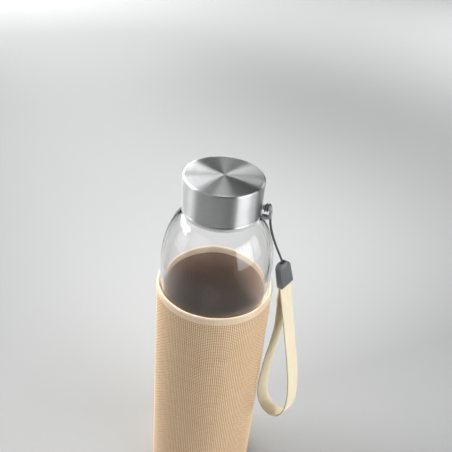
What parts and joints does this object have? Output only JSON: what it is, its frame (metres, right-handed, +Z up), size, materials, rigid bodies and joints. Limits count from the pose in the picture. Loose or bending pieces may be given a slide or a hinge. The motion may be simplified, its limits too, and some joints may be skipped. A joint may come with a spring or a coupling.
{
  "type": "glass water bottle",
  "caption": "Clear glass drinking bottle with a brushed steel screw cap, a woven fabric sleeve and a webbing wrist strap hanging on a cord from a lug on the cap.",
  "frame": {"origin": "on the bottle's vertical axis, on the surface it stands on, in the middle of the base's underside", "axes": "+Z up along the bottle's axis; +X toward the strap lug on the cap; +Y completes a right-handed frame"},
  "size_m": [0.0909, 0.066, 0.22],
  "materials": {
    "glass": "clear, smooth borosilicate",
    "steel": "spun brush on the top disc, fine round brush on the side",
    "liner_plastic": "satin light grey polypropylene",
    "silicone": "soft, translucent white",
    "cord": "fine braided cord",
    "clasp_plastic": "satin moulded plastic",
    "webbing": "flat woven tape",
    "woven_jute": "ribbed plain weave, slightly slubby",
    "hem_tape": "smooth folded binding"
  },
  "bodies": {
    "sleeve": {"sleeve_body": "woven_jute", "sleeve_hem": "hem_tape", "sleeve_base": "woven_jute"},
    "bottle": {"glass_bottle": "glass"},
    "cap_seal": {"cap_gasket": "silicone"},
    "cap": {"cap_shell": "steel", "cap_liner": "liner_plastic", "strap_lug": "liner_plastic", "cord_hitch": "cord"},
    "cord": {"cord_strand_a": "cord", "cord_strand_b": "cord"},
    "clasp": {"strap_clasp": "clasp_plastic"},
    "loop": {"wrist_strap": "webbing"}
  },
  "joints": [
    {"name": "bottle_lift", "type": "slide", "parent": "sleeve", "child": "bottle", "axis": [0, 0, 1], "range_m": [0, 0.16]},
    {"name": "cap_rise", "type": "slide", "parent": "bottle", "child": "cap_seal", "axis": [0, 0, 1], "range_m": [0, 0.0179]},
    {"name": "cap_turn", "type": "hinge", "parent": "cap_seal", "child": "cap", "pos_m": [0, 0, 0.1987], "axis": [0, 0, 1], "range_deg": [0, 1530]},
    {"name": "strap_swing", "type": "hinge", "parent": "cap", "child": "cord", "pos_m": [0.02635, 0.0028, 0.2023], "axis": [0, -1, 0], "range_deg": [0, 80]},
    {"name": "clasp_swing", "type": "hinge", "parent": "cord", "child": "clasp", "pos_m": [0.03587, 0.00136, 0.17226], "axis": [1, 0, 0], "range_deg": [-30, 30]},
    {"name": "loop_flex", "type": "hinge", "parent": "clasp", "child": "loop", "pos_m": [0.04042, 0.00176, 0.1564], "axis": [-0.5299, -0.848, 0], "range_deg": [0, 50]}
  ],
  "couplings": [
    {"joint": "cap_rise", "follows": "cap_turn", "m_per_rad": 0.00066845}
  ]
}
